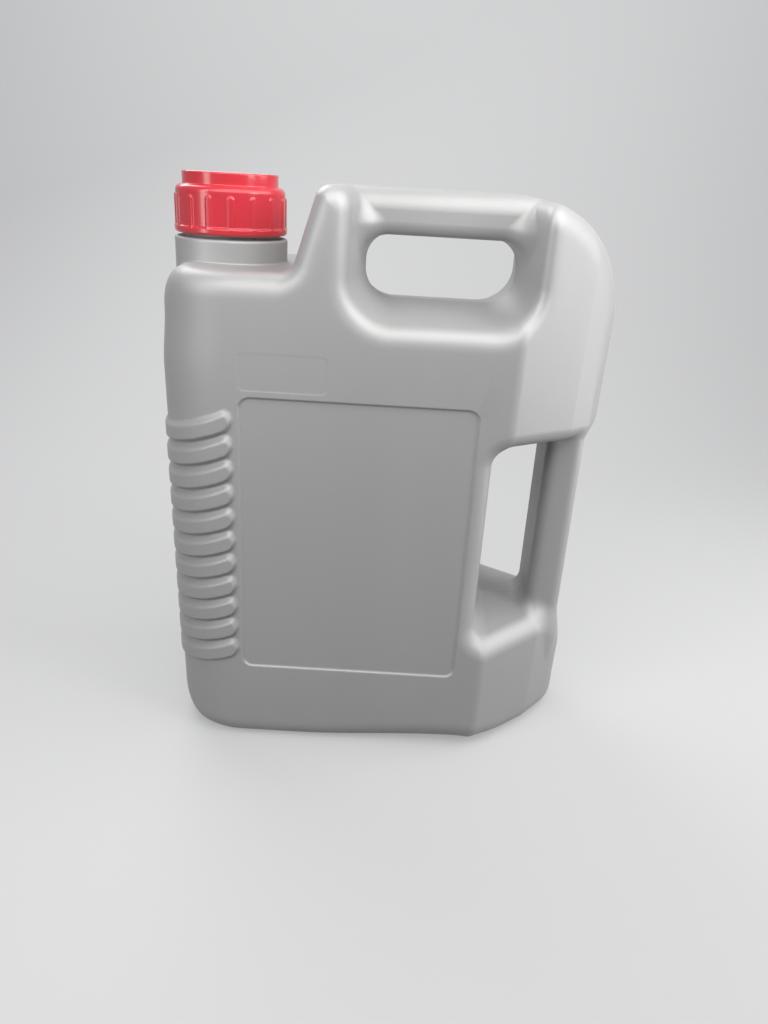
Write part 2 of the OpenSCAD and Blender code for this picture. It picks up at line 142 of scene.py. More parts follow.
# Upright bar of the rear grip: left and right, lower and upper fillet, and its loss at the foot
GRIP_BAR = (RIGHT - 30.0, RIGHT - 10.4)
GRIP_BAR_HALF_D = 18.5
GRIP_BAR_R = 6.0
GRIP_BAR_ROOT = 44.0
GRIP_BAR_END_R = 14.0
GRIP_FILLET = (9.0, 3.0)
GRIP_FADE = (28.0, 46.0, 8.5)

# Grip ribs: lower and upper flank, grooves that fade in, and angles of the head and the level part
RIB_N = 11
RIB_PITCH = 12.66
RIB_LOW = 61.1
RIB_W = 11.6
RIB_PROUD = 1.82
RIB_GROOVE = 0.7
RIB_FLANK = (2.4, 3.6)
RIB_FLANK_RUN = 4.0
RIB_FADE = 5.0
RIB_SAG = 14.0
RIB_HEAD = math.radians(-1.8)
RIB_LEVEL = math.radians(70.0)

# Label panel and the small field over it: left, right, low, high, corner radius, depth, bevel
PANEL = (LEFT + 46.6, GRIP_X - 12.4, 47.0, 198.2, 6.0, 1.2, 1.4)
TAB = (LEFT + 46.6, LEFT + 89.6, 200.6, 219.0, 3.0, 0.15, 0.9)

# Base: a shallow hollow with a weld line
FOOT_INSET = 21.0
FOOT_H = 2.4
FOOT_HOLLOW_R = 1.0
FOOT_RIM_R = 1.5
WELD_R = 0.9
WELD_FILLET = 0.5

# Neck
COLLAR_R = 27.8
COLLAR_Z = 265.0
COLLAR_HALF_H = 15.0
COLLAR_EDGE_R = 1.1
COLLAR_FILLET = 1.0
NECK_R = 23.7
NECK_HALF_H = 20.0
NECK_FILLET = 1.2
RIM_Z = 284.6
RIM_R = 0.8
BORE_R = 20.7
BORE_HALF_H = 24.0
BORE_FILLET = 4.0
THREAD_PITCH = 5.0
THREAD_LOW = 268.5
THREAD_TURNS = 2.2
THREAD_FADE = 0.25
THREAD_H = 0.8
THREAD_W = 1.1
THREAD_FLANK = 2.0

# Cap
CAP_R = 26.7
CAP_IN_R = 25.0
BEAD_R = 27.6
BEAD_H = 3.0
BEAD_EDGE_R = 0.8
BEAD_FILLET = 0.8
CAP_PLATE = 1.9
CAP_STEP = LINER_TOP + CAP_PLATE
FOLD_R = 3.0
RING_R = 23.3
RING_T = 2.2
RING_HALF_H = 4.0
RING_EDGE_R = 0.7
RING_FILLET = 0.6
BAR_COUNT = 16
CAP_BAR_W = 4.0
CAP_BAR_PROUD = 0.6
CAP_BAR_TOP = CAP_STEP - 4.0
CAP_BAR_FLANK = 1.1
CAP_BAR_ROOT = 2.0
CAVITY_HALF_H = 30.0
CAVITY_R = 0.4
CAP_MOUTH_R = 0.35

# Skins: lattice cell, reach past a block's centre and number of triangles
BODY_MESH = (0.95, 3.0, 150000)
INSIDE_MESH = (2.2, 1.0, 16000)
CAP_MESH = (0.42, 1.0, 70000)
BOX_MARGIN = 1.0
MOUTH_OVER = 3.0

# Points worked out at once, cells along a block, cells of margin, and step of a slope
CHUNK = 120000
BLOCK = 8
MARGIN = 2
SLOPE_STEP = 0.04

# Least square of a slope that a point is moved along, and least length that is divided by
LEAST_SLOPE = 0.05
TINY = 1e-6

# Silver plastic: base colour, dark and pale tone, and roughness
SILVER = (0.42, 0.42, 0.422)
SILVER_TONES = ((0.405, 0.405, 0.407), (0.435, 0.435, 0.437))
SILVER_METALLIC = 0.3
SILVER_ROUGH = 0.5
SILVER_ROUGH_RANGE = (0.46, 0.52)

# Its flow lines, flakes and clouds, as a scale per metre, a detail and a stretch along the axes
FLOW = (24.0, 3.0, (1.0, 1.0, 0.15))
FLAKES = (2600.0, 2.0)
CLOUD = (9.0, 2.0)
FLAKE_SHARE = 0.5

# Heights of its parting line, flow lines and flakes, and where the line falls off, in metres
SEAM_H = 0.00025
FLOW_H = 0.00002
FLAKE_H = 0.00001
SEAM_FALL = (0.0002, 0.0007)

# Red plastic: base colour, tones, roughness, depth that each colour of light goes in, clouds and grain
RED = (0.62, 0.029, 0.046)
RED_TONES = ((0.61, 0.027, 0.043), (0.64, 0.031, 0.049))
RED_ROUGH = 0.32
RED_ROUGH_RANGE = (0.22, 0.27)
RED_SUBSURFACE = 0.25
RED_SCATTER = (0.004, 0.0008, 0.0008)
RED_COAT = 0.35
RED_CLOUD = (20.0, 1.0)
RED_GRAIN = (900.0, 2.0)
RED_GRAIN_H = 0.00001

# White foam of the seal: base colour, tones, roughness and cells
FOAM = (0.9, 0.9, 0.88)
FOAM_TONES = ((0.84, 0.84, 0.82), (0.92, 0.92, 0.90))
FOAM_ROUGH = 0.7
FOAM_CELLS = (1500.0, 2.0)
FOAM_CELL_H = 0.00005

# Camera of the photograph: focal length and height of the frame in pixels, place in millimetres
FRAME_H = 1024
FOCAL_PX = 778.0
CAMERA_AT = (2.7, -412.8, 295.9)
PITCH = math.radians(23.17)
ROLL = math.radians(3.4)
SENSOR_H = 24.0
CLIP = (0.01, 20.0)

# Floor in metres, which bends up behind: its colour, its glow and the light that it throws back
FLOOR_HALF_W = 3.0
FLOOR_FRONT = -2.0
FLOOR_BACK = 1.1
FLOOR_RISE = 2.2
FLOOR_BEND = 0.7
FLOOR_STEPS = 16
FLOOR_TONE = (0.3, 0.3, 0.3)
FLOOR_ROUGH = 0.6
FLOOR_GLOW = (0.97, 0.98, 1.0)
FLOOR_GLOW_STRENGTH = 0.33
FLOOR_DIM = (0.1, 0.1, 0.1)

# Surround: colour, and strength as light on the object and as what is seen
SURROUND = (0.95, 0.97, 1.0)
SURROUND_STRENGTH = (0.06, 0.42)

# Lights in metres and watts: name, place, point that it looks at, size, power and colour
WHITE = (1.0, 1.0, 1.0)
WARM_WHITE = (1.0, 0.985, 0.97)
LIGHTS = [
    ("near", (0.08, -0.17, 0.48), (0.0, -0.05, 0.2), (0.9, 0.3), 2.5, WARM_WHITE),
    ("left", (-0.5, -0.42, 0.42), (-0.05, 0.0, 0.26), (0.16, 0.5), 1.3, WHITE),
    ("right", (0.58, -0.36, 0.46), (0.05, 0.0, 0.24), (0.2, 0.5), 1.9, WHITE),
    ("side", (0.6, 0.05, 0.25), (0.1, 0.0, 0.18), (0.25, 0.5), 1.2, WHITE),
    ("behind", (-0.35, 0.45, 0.75), (0.0, 0.0, 0.15), (0.5, 0.5), 3.2, WHITE),
    ("backdrop", (0.0, 0.5, 1.0), (0.0, 1.1, 0.5), (1.6, 0.4), 7.0, WHITE),
]


def smooth(t):
    """Eases from 0 to 1"""
    t = np.clip(t, 0.0, 1.0)
    return t * t * (3.0 - 2.0 * t)


def past(t, start, run):
    """Eases from 0 at a start to 1 after a run"""
    return smooth((t - start) / run)


def between(low, high, t):
    """Value between two ends, by a share"""
    return low + (high - low) * t


def eased(t, ease):
    """Amount at a distance t past a start, which grows to a reach over a run"""
    start, run, reach = ease
    return reach * past(t, start, run)


def sunk(z, ease):
    """Amount at a depth below a start, which grows to a reach over a run"""
    start, run, reach = ease
    return reach * smooth((start - z) / run)


def span(t, low, high):
    """Distance to the stretch between two places"""
    return np.abs(t - (low + high) / 2) - (high - low) / 2


def layer(t, top, half):
    """Distance to a layer under a top, twice half in depth"""
    return np.abs(t - top + half) - half


def both(a, b, r):
    """Distance to what two forms share, with edges rounded by r"""
    edge = np.hypot(np.maximum(a + r, 0.0), np.maximum(b + r, 0.0))
    return np.minimum(np.maximum(a, b), -r) + edge


def eased_both(a, b, r):
    """Distance to what two forms share, with an edge of about radius r that eases into both"""
    r = r * EASE_REACH
    edge = np.maximum(a + r, 0.0) ** EASE_POWER + np.maximum(b + r, 0.0) ** EASE_POWER
    return np.minimum(np.maximum(a, b), -r) + edge ** (1.0 / EASE_POWER)


def either(a, b, r):
    """Distance to two forms joined, with a fillet of radius r"""
    fillet = np.hypot(np.maximum(r - a, 0.0), np.maximum(r - b, 0.0))
    return np.maximum(np.minimum(a, b), r) - fillet


def without(a, b, r):
    """Distance to a form less another, with rims rounded by r"""
    return both(a, -b, r)


def spread(z):
    """Share of the shoulder's width that the body has at a height"""
    return 1.0 - NARROWING * (SHOULDER - z) / SHOULDER


def drift(x, end):
    """How far a gap's end has moved at x, and its slope; the end is a start, a run and a reach"""
    start, run, reach = end
    t = np.clip((x - start) / run, 0.0, DRIFT_END)
    return reach * t * t, 2.0 * reach * t / run


def rounded_field(x, z, box):
    """Distance to a rectangle with round corners, left, right, low, high and corner radius"""
    left, right, low, high, r = box
    return both(span(x, left, right), span(z, low, high), r)


def moved_in(corners, r):
    """Corners of a convex path, each edge moved inwards by r; the path runs clockwise"""
    lines = []
    for (ax, ay), (bx, by) in zip(corners[:-1], corners[1:]):
        length = math.hypot(bx - ax, by - ay)
        nx, ny = -(by - ay) / length, (bx - ax) / length
        lines.append((nx, ny, nx * ax + ny * ay - r))
    inner = [(corners[0][0], corners[0][1] - r)]
    for (ax, ay, ad), (bx, by, bd) in zip(lines[:-1], lines[1:]):
        det = ax * by - ay * bx
        inner.append(((ad * by - ay * bd) / det, (ax * bd - ad * bx) / det))
    inner.append((inner[-1][0], -inner[-1][1]))
    return inner


TAPER_CORE = moved_in(PLAN_TAPER, TAPER_R)


def taper_distance(x, y):
    """Distance to the tapered side's plan, with its corners rounded"""
    best = np.full_like(x, np.inf)
    side = np.full_like(x, -np.inf)
    for (ax, ay), (bx, by) in zip(TAPER_CORE[:-1], TAPER_CORE[1:]):
        ex, ey = bx - ax, by - ay
        square = ex * ex + ey * ey
        px, py = x - ax, y - ay
        t = np.clip((px * ex + py * ey) / square, 0.0, 1.0)
        best = np.minimum(best, (px - t * ex) ** 2 + (py - t * ey) ** 2)
        side = np.maximum(side, (ex * py - ey * px) / math.sqrt(square))
    return np.where(side > 0, 1.0, -1.0) * np.sqrt(best) - TAPER_R


def left_edge(z):
    """Left edge of the body, which leans in under the shoulder"""
    return LEFT + eased(z, LEAN)


def plan_distance(x, y, z):
    """Distance to the plan: rounded left side, flat faces, tapered right side"""
    nose = both(left_edge(z) - x, y - HALF_D, NOSE_R)
    return np.maximum(nose, taper_distance(x, y))


def outline_distance(x, z):
    """Distance to the front outline with the leaning post and the big top corner"""
    lean = (POST_FOOT - x) * math.cos(POST_LEAN) + (z - SHOULDER) * math.sin(POST_LEAN)
    upper = both(lean, z - TOP, POST_R)
    step = either(z - SHOULDER, upper, VALLEY_R)
    across = x / spread(z)
    form = both(step, across - RIGHT - sunk(z, BASE_SWELL), TOP_R)
    form = both(form, left_edge(z) - across, CORNER_R)
    return both(form, -z, between(CORNER_R, HEEL_R, smooth(x / HEEL_RUN + 1.0)))


def finger_gap(x, y, z):
    """Distance to the gap under the carrying handle, open at the top"""
    return both(span(x, GAP_LEFT, GAP_RIGHT), GAP_FLOOR - z, GAP_R) - GAP_DRAFT * y / HALF_D


def hand_gap(x, y, z):
    """Distance to the gap of the rear grip, open at the right"""
    fall, fall_slope = drift(x, GRIP_FALL)
    rise, rise_slope = drift(x, GRIP_RISE)
    under = (GRIP_LOW - fall - z) / np.hypot(1.0, fall_slope)
    over = (z - GRIP_HIGH - rise) / np.hypot(1.0, rise_slope)
    return both(GRIP_X - x, np.maximum(under, over), GRIP_R) - GRIP_DRAFT * y / HALF_D


def handle_bar(x, y, z):
    """Distance to the carrying bar, with a rounder top than underside"""
    r = between(BAR_LOW_R, BAR_TOP_R, past(z - BAR_LOW, BAR_LOW_R, BAR_EASE))
    section = both(y - BAR_HALF_D, np.maximum(outline_distance(x, z), BAR_LOW - z), r)
    ends = span(x, GAP_LEFT, GAP_RIGHT) - BAR_ROOT
    return np.maximum(section, ends)


def grip_bar(x, y, z):
    """Distance to the upright bar of the rear grip"""
    section = both(span(x, *GRIP_BAR), y - GRIP_BAR_HALF_D, GRIP_BAR_R)
    ends = span(z, GRIP_LOW, GRIP_HIGH) - GRIP_BAR_ROOT
    return both(section, ends, GRIP_BAR_END_R)


def edge_radius(x, z):
    """Rounding between the faces and the outline, wider along the base"""
    share = past(x, *ROLL_IN) * (1.0 - past(x, *ROLL_OUT))
    return EDGE_R + sunk(z, BASE_ROLL) * share


def blown_form(x, y, z):
    """Distance to the blown form, without ribs, panels and neck"""
    y = np.abs(y)
    plan = plan_distance(x / spread(z), y, z)
    form = eased_both(plan, outline_distance(x, z), edge_radius(x, z))
    form = eased_both(form, -finger_gap(x, y, z), GAP_RIM)
    form = either(form, handle_bar(x, y, z), between(*BAR_FILLET, past(TOP - z, *BAR_FADE)))
    upper = past(z - GRIP_LOW, *GRIP_EASE)
    form = without(form, hand_gap(x, y, z), between(*GRIP_RIM, upper))
    start, run, loss = GRIP_FADE
    fillet = between(*GRIP_FILLET, upper) - loss * (1.0 - past(z, start, run))
    form = either(form, grip_bar(x, y, z), fillet)
    hollow = both(plan + FOOT_INSET, z - FOOT_H, FOOT_HOLLOW_R)
    return without(form, hollow, FOOT_RIM_R)


def rib_height(x, y, z):
    """Height of the grip ribs over the rounded side, and depth of the grooves between them"""
    y = np.abs(y)
    x = x / spread(z)
    turn = np.arctan2(NOSE_X - x, np.maximum(y - NOSE_Y, TINY))
    turn = np.where(x > NOSE_X, (NOSE_X - x) / NOSE_R, turn)
    bend = np.maximum(RIB_LEVEL - turn, 0.0) / (RIB_LEVEL - RIB_HEAD)
    slope = np.cos(np.arctan(2.0 * RIB_SAG * bend / ((RIB_LEVEL - RIB_HEAD) * NOSE_R)))
    height = z - RIB_LOW + RIB_SAG * (1.0 - bend * bend)
    nearest = np.clip(np.round(height / RIB_PITCH), 0, RIB_N - 1)
    across = (height - nearest * RIB_PITCH) * slope
    head = NOSE_R * (RIB_HEAD - turn) + RIB_W / 2
    away = np.hypot(across, np.maximum(head, 0.0))
    flank = between(*RIB_FLANK, smooth(across / RIB_FLANK_RUN + 0.5))
    rise = smooth((RIB_W / 2 - away) / flank)
    middle = RIB_PITCH * (RIB_N - 1) / 2
    within = np.minimum(RIB_W / 2 - head, middle + RIB_W / 2 - np.abs(height - middle))
    groove = RIB_GROOVE * smooth(within / RIB_FADE)
    return (RIB_PROUD + groove) * rise - groove


def pressed(x, z):
    """Depth of the label panel and the small field over it"""
    depth = np.zeros_like(x)
    for *box, deep, bevel in (PANEL, TAB):
        depth = depth + deep * smooth(-rounded_field(x, z, box) / bevel)
    return depth


def thread(x, y, z, low):
    """Height of a thread's ridge, which starts at a low place and fades at both ends"""
    turn = np.arctan2(y, x) / (2.0 * math.pi)
    along = (z - low) / THREAD_PITCH
    nearest = np.round(along - turn)
    across = (along - turn - nearest) * THREAD_PITCH
    ends = smooth((nearest + turn) / THREAD_FADE) * smooth((THREAD_TURNS - nearest - turn) / THREAD_FADE)
    return THREAD_H * ends * smooth((THREAD_W + THREAD_FLANK / 2 - np.abs(across)) / THREAD_FLANK)


def neck_form(x, y, z):
    """Distance to the collar and the threaded neck, with no bore"""
    x = x - AXIS_X
    r = np.hypot(x, y)
    collar = both(r - COLLAR_R, layer(z, COLLAR_Z, COLLAR_HALF_H), COLLAR_EDGE_R)
    ridge = thread(x, y, z, THREAD_LOW)
    neck = both(r - NECK_R - ridge, layer(z, RIM_Z, NECK_HALF_H), RIM_R)
    return either(collar, neck, NECK_FILLET)


def body_outside(x, y, z):
    """Distance to the outside of the body"""
    form = blown_form(x, y, z) - rib_height(x, y, z) + pressed(x, z)
    weld = np.hypot(y, z - FOOT_H) - WELD_R
    weld = np.maximum(weld, np.maximum(NOSE_X - x, x - TAPER_START))
    form = either(form, weld, WELD_FILLET)
    return either(form, neck_form(x, y, z), COLLAR_FILLET)


def body_inside(x, y, z):
    """Distance to the inside of the body and the bore of its neck"""
    bore = np.maximum(np.hypot(x - AXIS_X, y) - BORE_R, np.abs(z - RIM_Z + NECK_HALF_H) - BORE_HALF_H)
    return either(blown_form(x, y, z) + pressed(x, z) + WALL, bore, BORE_FILLET)


def cap_bars(x, y, z):
    """Height of the cap's upright grip bars over its skirt"""
    step = 2.0 * math.pi / BAR_COUNT
    turn = np.arctan2(y, x) / step
    turn = (turn - np.floor(turn) - 0.5) * step
    along = np.maximum(z - CAP_BAR_TOP + CAP_BAR_W / 2, 0.0)
    away = np.hypot(np.hypot(x, y) * np.sin(turn), along)
    return CAP_BAR_PROUD * smooth((CAP_BAR_W / 2 - away) / CAP_BAR_FLANK)


def cap_form(x, y, z):
    """Distance to the screw cap"""
    x = x - AXIS_X
    r = np.hypot(x, y)
    skirt = both(r - CAP_R, span(z, CAP_LOW, CAP_STEP), FOLD_R)
    skirt = np.where(z < CAP_STEP - FOLD_R, np.maximum(r - CAP_R, CAP_LOW - z), skirt)
    bead_z = CAP_LOW + BEAD_H / 2
    bead = both(r - BEAD_R, np.abs(z - bead_z) - BEAD_H / 2, BEAD_EDGE_R)
    skirt = skirt - np.where((r > CAP_R - CAP_BAR_ROOT) & (z > bead_z), cap_bars(x, y, z), 0.0)
    ring = both(layer(r, RING_R, RING_T / 2), layer(z, CAP_TOP, RING_HALF_H), RING_EDGE_R)
    form = either(either(skirt, bead, BEAD_FILLET), ring, RING_FILLET)
    ridge = thread(x, y, z, THREAD_LOW + THREAD_PITCH / 2)
    cavity = both(r - CAP_IN_R + ridge, layer(z, LINER_TOP, CAVITY_HALF_H), CAVITY_R)
    return without(form, cavity, CAP_MOUTH_R)


def values_at(field, points):
    """Values of a field at many points"""
    out = np.empty(len(points))
    for start in range(0, len(points), CHUNK):
        part = points[start : start + CHUNK]
        out[start : start + CHUNK] = field(part[:, 0], part[:, 1], part[:, 2])
    return out


def slopes_at(field, points):
    """Slopes of a field at many points"""
    out = np.empty((len(points), 3))
    for axis in range(3):
        shift = np.zeros(3)
        shift[axis] = SLOPE_STEP
        rise = values_at(field, points + shift) - values_at(field, points - shift)
        out[:, axis] = rise / (2.0 * SLOPE_STEP)
    return out


def settled(field, points, limit, rounds=2):
    """Points moved onto the surface of a field"""
    for _ in range(rounds):
        slope = slopes_at(field, points)
        square = np.maximum((slope * slope).sum(1), LEAST_SLOPE)
        move = values_at(field, points)[:, None] * slope / square[:, None]
        length = np.linalg.norm(move, axis=1)
        points = points - move * np.minimum(1.0, limit / np.maximum(length, TINY))[:, None]
    return points


def surface(field, low, high, step, reach):
    """Points and quads of the closed surface on which a field is zero"""
    low = np.array(low) - MARGIN * step
    blocks = np.ceil((np.array(high) + MARGIN * step - low) / (BLOCK * step)).astype(int)
    centres = np.stack(np.meshgrid(*[np.arange(n) + 0.5 for n in blocks], indexing="ij"), -1)
    centres = low + centres.reshape(-1, 3) * BLOCK * step
    kept = (np.abs(values_at(field, centres)) < BLOCK * step + reach).reshape(blocks)
    size = blocks * BLOCK
    fine = kept.repeat(BLOCK, 0).repeat(BLOCK, 1).repeat(BLOCK, 2)
    known = np.zeros(size + 1, bool)
    corners = np.array(list(itertools.product((0, 1), repeat=3)))

    def shifted(lattice, corner):
        return lattice[tuple(slice(c, c + n) for c, n in zip(corner, size))]

    for corner in corners:
        shifted(known, corner)[...] |= fine
    lattice = np.full(size + 1, np.nan)
    lattice[known] = values_at(field, low + np.argwhere(known) * step)
    inside = lattice < 0
    some = np.zeros(size, bool)
    whole = fine.copy()
    for corner in corners:
        some |= shifted(inside, corner)
        whole &= shifted(inside, corner)
    live = fine & some & ~whole
    cells = np.argwhere(live)
    number = np.full(size, -1, np.int64)
    number[live] = np.arange(len(cells))

    heights = np.stack([lattice[tuple((cells + corner).T)] for corner in corners], 1)
    total = np.zeros((len(cells), 3))
    hits = np.zeros(len(cells))
    for i, j in itertools.combinations(range(len(corners)), 2):
        if np.abs(corners[i] - corners[j]).sum() != 1:
            continue
        cut = (heights[:, i] < 0) != (heights[:, j] < 0)
        t = heights[cut, i] / (heights[cut, i] - heights[cut, j])
        total[cut] += corners[i] + t[:, None] * (corners[j] - corners[i])
        hits[cut] += 1
    points = low + (cells + total / hits[:, None]) * step

    quads = []
    for axis in range(3):
        second, third = np.eye(3, dtype=int)[[(axis + 1) % 3, (axis + 2) % 3]]
        along = np.eye(3, dtype=int)[axis]
        ahead = np.roll(inside, -1, axis)
        crossed = (inside != ahead) & known & np.roll(known, -1, axis)
        places = np.argwhere(crossed)
        places = places[(places >= 1).all(1) & (places + along < size).all(1)]
        ring = [places - second - third, places - third, places, places - second]
        quad = np.stack([number[tuple(place.T)] for place in ring], 1)
        back = ~inside[tuple(places.T)]
        quad[back] = quad[back][:, ::-1]
        quads.append(quad)
    return points, np.concatenate(quads)


def new_object(name, points, faces):
    """Object in the scene from points in millimetres and faces of equal length"""
    mesh = bpy.data.meshes.new(name)
    mesh.from_pydata((points * MM).tolist(), [], faces.tolist())
    obj = bpy.data.objects.new(name, mesh)
    bpy.context.scene.collection.objects.link(obj)
    return obj


def apply_modifiers(obj):
    """Gives an object the mesh that its modifiers make"""
    graph = bpy.context.evaluated_depsgraph_get()
    mesh = bpy.data.meshes.new_from_object(obj.evaluated_get(graph))
    obj.modifiers.clear()
    old = obj.data
    obj.data = mesh
    mesh.name = obj.name
    bpy.data.meshes.remove(old)


def mesh_points(mesh):
    """Places of a mesh's vertices, in millimetres"""
    flat = np.empty(len(mesh.vertices) * 3)
    mesh.vertices.foreach_get("co", flat)
    return flat.reshape(-1, 3) / MM


def skin(name, field, low, high, step, reach, triangles):
    """Closed mesh of a field's surface, thinned where it is flat"""
    points, quads = surface(field, low, high, step, reach)
    points = settled(field, points, step)
    obj = new_object(name, points, quads)
    thin = obj.modifiers.new("thin", "DECIMATE")
    thin.ratio = min(1.0, triangles / (2.0 * len(quads)))
    apply_modifiers(obj)
    places = settled(field, mesh_points(obj.data), step / 2)
    obj.data.vertices.foreach_set("co", (places * MM).ravel())
    return obj


def shade(obj, fields):
    """Smooth normals from the fields: each face takes the field whose surface it lies on"""
    mesh = obj.data
    places = mesh_points(mesh)
    loops = np.empty(len(mesh.loops), np.int64)
    mesh.loops.foreach_get("vertex_index", loops)
    centres = np.empty(len(mesh.polygons) * 3)
    mesh.polygons.foreach_get("center", centres)
    centres = centres.reshape(-1, 3) / MM
    counts = np.empty(len(mesh.polygons), np.int64)
    mesh.polygons.foreach_get("loop_total", counts)
    distance = np.stack([np.abs(values_at(field, centres)) for field, _ in fields])
    chosen = np.repeat(distance.argmin(0), counts)
    normals = np.zeros((len(loops), 3))
    for i, (field, sense) in enumerate(fields):
        slope = slopes_at(field, places)
        slope *= sense / np.maximum(np.linalg.norm(slope, axis=1), TINY)[:, None]
        normals[chosen == i] = slope[loops[chosen == i]]
    mesh.shade_smooth()
    mesh.normals_split_custom_set(normals.tolist())


def make_body():
    """Blown body as a thin shell with an open mouth"""
    low = body_low - BOX_MARGIN
    high = body_high + BOX_MARGIN
    body = skin("body_skin", body_outside, low, high, *BODY_MESH)
    inside = skin("body_inside", body_inside, low, high + [0, 0, MOUTH_OVER], *INSIDE_MESH)
    cut = body.modifiers.new("hollow", "BOOLEAN")
    cut.operation = "DIFFERENCE"
    cut.solver = "MANIFOLD"
    cut.object = inside
    apply_modifiers(body)
    bpy.data.objects.remove(inside)
    shade(body, [(body_outside, 1.0), (body_inside, -1.0)])
    return body


def make_cap():
    """Screw cap with grip bars, a bead, a raised ring and an inner thread"""
    cap = skin("cap_skin", cap_form, cap_low - BOX_MARGIN, cap_high + BOX_MARGIN, *CAP_MESH)
    shade(cap, [(cap_form, 1.0)])
    return cap


def new_material(name, base, roughness):
    """Material with a principled shader, and its tree"""
    material = bpy.data.materials.new(name)
    material.use_nodes = True
    tree = material.node_tree
    shader = tree.nodes["Principled BSDF"]
    shader.inputs["Base Color"].default_value = (*base, 1.0)
    shader.inputs["Roughness"].default_value = roughness
    return material, tree, shader


def noise(tree, scale, detail, stretch=(1.0, 1.0, 1.0)):
    """Noise over the object's own places, stretched along its axes"""
    places = tree.nodes.new("ShaderNodeTexCoord")
    mapping = tree.nodes.new("ShaderNodeMapping")
    mapping.inputs["Scale"].default_value = stretch
    texture = tree.nodes.new("ShaderNodeTexNoise")
    texture.inputs["Scale"].default_value = scale
    texture.inputs["Detail"].default_value = detail
    tree.links.new(places.outputs["Object"], mapping.inputs["Vector"])
    tree.links.new(mapping.outputs["Vector"], texture.inputs["Vector"])
    return texture.outputs["Fac"]


def ramp(tree, factor, low, high, from_min=0.3, from_max=0.7):
    """Value between low and high, by a factor"""
    node = tree.nodes.new("ShaderNodeMapRange")
    node.inputs["From Min"].default_value = from_min
    node.inputs["From Max"].default_value = from_max
    node.inputs["To Min"].default_value = low
    node.inputs["To Max"].default_value = high
    tree.links.new(factor, node.inputs["Value"])
    return node.outputs["Result"]


def tint(tree, factor, dark, pale):
    """Colour between two tones, by a factor"""
    node = tree.nodes.new("ShaderNodeMix")
    node.data_type = "RGBA"
    node.inputs["A"].default_value = (*dark, 1.0)
    node.inputs["B"].default_value = (*pale, 1.0)
    tree.links.new(factor, node.inputs["Factor"])
    return node.outputs["Result"]


def bump(tree, shader, heights):
    """Adds layers of bump, each a height and its distance in metres"""
    normal = None
    for height, distance in heights:
        node = tree.nodes.new("ShaderNodeBump")
        node.inputs["Distance"].default_value = distance
        tree.links.new(height, node.inputs["Height"])
        if normal:
            tree.links.new(normal, node.inputs["Normal"])
        normal = node.outputs["Normal"]
    tree.links.new(normal, shader.inputs["Normal"])


def parting_line(tree):
    """Fine ridge where the two halves of the mould met, at the middle of the depth"""
    places = tree.nodes.new("ShaderNodeTexCoord")
    parts = tree.nodes.new("ShaderNodeSeparateXYZ")
    away = tree.nodes.new("ShaderNodeMath")
    away.operation = "ABSOLUTE"
    tree.links.new(places.outputs["Object"], parts.inputs["Vector"])
    tree.links.new(parts.outputs["Y"], away.inputs[0])
    return ramp(tree, away.outputs["Value"], 1.0, 0.0, *SEAM_FALL)


def silver_plastic():
    """Polyethylene with silver pigment: fine flakes, faint upright flow lines and a satin skin"""
    material, tree, shader = new_material("silver_polyethylene", SILVER, SILVER_ROUGH)
    shader.inputs["Metallic"].default_value = SILVER_METALLIC
    flow = noise(tree, *FLOW)
    flakes = noise(tree, *FLAKES)
    cloud = noise(tree, *CLOUD)
    mixed = tree.nodes.new("ShaderNodeMix")
    mixed.inputs["Factor"].default_value = FLAKE_SHARE
    tree.links.new(flow, mixed.inputs["A"])
    tree.links.new(flakes, mixed.inputs["B"])
    share = ramp(tree, mixed.outputs["Result"], 0.0, 1.0)
    colour = tint(tree, share, *SILVER_TONES)
    tree.links.new(colour, shader.inputs["Base Color"])
    tree.links.new(ramp(tree, cloud, *SILVER_ROUGH_RANGE), shader.inputs["Roughness"])
    bump(tree, shader, [(parting_line(tree), SEAM_H), (flow, FLOW_H), (flakes, FLAKE_H)])
    return material


def red_plastic():
    """Glossy, slightly translucent red polypropylene"""
    material, tree, shader = new_material("red_polypropylene", RED, RED_ROUGH)
    shader.inputs["Subsurface Weight"].default_value = RED_SUBSURFACE
    shader.inputs["Subsurface Radius"].default_value = RED_SCATTER
    shader.inputs["Coat Weight"].default_value = RED_COAT
    cloud = noise(tree, *RED_CLOUD)
    grain = noise(tree, *RED_GRAIN)
    colour = tint(tree, ramp(tree, cloud, 0.0, 1.0), *RED_TONES)
    tree.links.new(colour, shader.inputs["Base Color"])
    tree.links.new(ramp(tree, grain, *RED_ROUGH_RANGE), shader.inputs["Roughness"])
    bump(tree, shader, [(grain, RED_GRAIN_H)])
    return material


def white_foam():
    """Pale seal disc with fine cells"""
    material, tree, shader = new_material("white_foam", FOAM, FOAM_ROUGH)
    cells = noise(tree, *FOAM_CELLS)
    colour = tint(tree, ramp(tree, cells, 0.0, 1.0), *FOAM_TONES)
    tree.links.new(colour, shader.inputs["Base Color"])
    bump(tree, shader, [(cells, FOAM_CELL_H)])
    return material


def seen_rays(tree):
    """1 for rays that show a surface, straight or mirrored, and 0 for light that it throws on others"""
    path = tree.nodes.new("ShaderNodeLightPath")
    seen = path.outputs["Is Camera Ray"]
    for ray in ("Is Glossy Ray", "Is Transmission Ray"):
        higher = tree.nodes.new("ShaderNodeMath")
        higher.operation = "MAXIMUM"
        tree.links.new(seen, higher.inputs[0])
        tree.links.new(path.outputs[ray], higher.inputs[1])
        seen = higher.outputs["Value"]
    return seen


